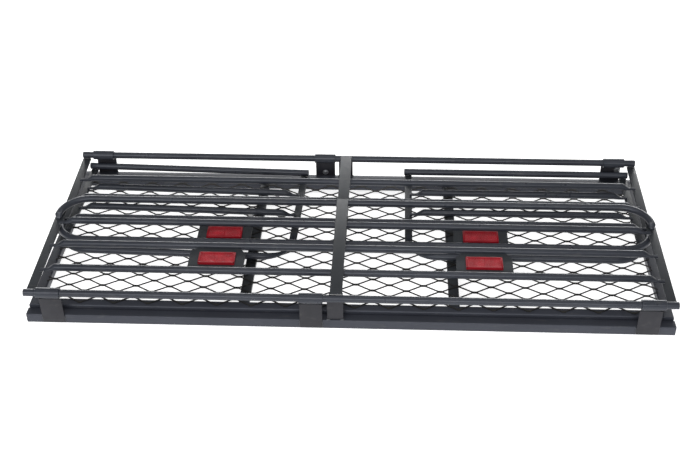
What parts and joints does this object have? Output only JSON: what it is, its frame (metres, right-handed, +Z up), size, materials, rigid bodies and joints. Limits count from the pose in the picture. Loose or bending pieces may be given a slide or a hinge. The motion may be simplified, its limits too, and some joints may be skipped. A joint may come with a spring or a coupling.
{
  "type": "hitch cargo carrier",
  "caption": "Welded steel hitch carrier with an expanded-mesh deck, hinged railed side panels with reflectors, and loose end panels lying flat on the deck.",
  "frame": {"origin": "ground level under the middle of the deck, at the bottom centre of the bounding box", "axes": "+Z up, +X to the right along the carrier's length, -Y towards the panel that lies on top of the pack"},
  "size_m": [1.524, 0.6246, 0.1161],
  "materials": {
    "frame": "satin dark slate grey powder coat",
    "deck_mesh": "satin dark powder coat on expanded metal",
    "reflector": "glossy red prismatic plastic"
  },
  "bodies": {
    "base": {"center_beam": "frame", "deck_mesh": "deck_mesh", "front_deck_member": "frame", "front_ledge_tube": "frame", "front_left_hinge_plate": "frame", "front_left_sleeve": "frame", "front_middle_hinge_plate": "frame", "front_middle_sleeve": "frame", "front_right_hinge_plate": "frame", "front_right_sleeve": "frame", "front_support_lug": "frame", "left_cross_member": "frame", "left_side_member": "frame", "rear_deck_member": "frame", "rear_ledge_tube": "frame", "rear_left_hinge_plate": "frame", "rear_left_sleeve": "frame", "rear_middle_hinge_plate": "frame", "rear_middle_sleeve": "frame", "rear_right_hinge_plate": "frame", "rear_right_sleeve": "frame", "rear_support_lug": "frame", "right_cross_member": "frame", "right_side_member": "frame"},
    "rear_panel": {"rear_hinge_tube": "frame", "rear_rail_1": "frame", "rear_rail_2": "frame", "rear_rail_3": "frame", "rear_top_rail": "frame", "rear_left_end_bar": "frame", "rear_right_end_bar": "frame", "rear_middle_bar": "frame", "rear_left_reflector": "reflector", "rear_right_reflector": "reflector", "rear_left_reflector_plate": "frame", "rear_right_reflector_plate": "frame"},
    "front_panel": {"front_hinge_tube": "frame", "front_rail_1": "frame", "front_rail_2": "frame", "front_rail_3": "frame", "front_top_rail": "frame", "front_left_end_bar": "frame", "front_right_end_bar": "frame", "front_middle_bar": "frame", "front_left_reflector": "reflector", "front_right_reflector": "reflector", "front_left_reflector_plate": "frame", "front_right_reflector_plate": "frame"},
    "left_end_panel": {"left_end_bottom_tube": "frame", "left_end_inner_leg": "frame", "left_end_outer_leg": "frame", "left_end_rail_1": "frame", "left_end_rail_2": "frame", "left_end_top_rail": "frame"},
    "right_end_panel": {"right_end_bottom_tube": "frame", "right_end_inner_leg": "frame", "right_end_outer_leg": "frame", "right_end_rail_1": "frame", "right_end_rail_2": "frame", "right_end_top_rail": "frame"}
  },
  "joints": [
    {"name": "rear_panel_hinge", "type": "hinge", "parent": "base", "child": "rear_panel", "pos_m": [0, -0.3, 0.0875], "axis": [1, 0, 0], "range_deg": [0, 154]},
    {"name": "front_panel_hinge", "type": "hinge", "parent": "base", "child": "front_panel", "pos_m": [0, 0.3, 0.0875], "axis": [-1, 0, 0], "range_deg": [0, 92.8]},
    {"name": "left_end_panel_slide", "type": "slide", "parent": "base", "child": "left_end_panel", "axis": [1, 0, 0], "range_m": [0, 0.12]},
    {"name": "right_end_panel_slide", "type": "slide", "parent": "base", "child": "right_end_panel", "axis": [-1, 0, 0], "range_m": [0, 0.12]}
  ],
  "couplings": [
    {"joint": "front_panel_hinge", "follows": "rear_panel_hinge", "ratio": 0.6}
  ]
}
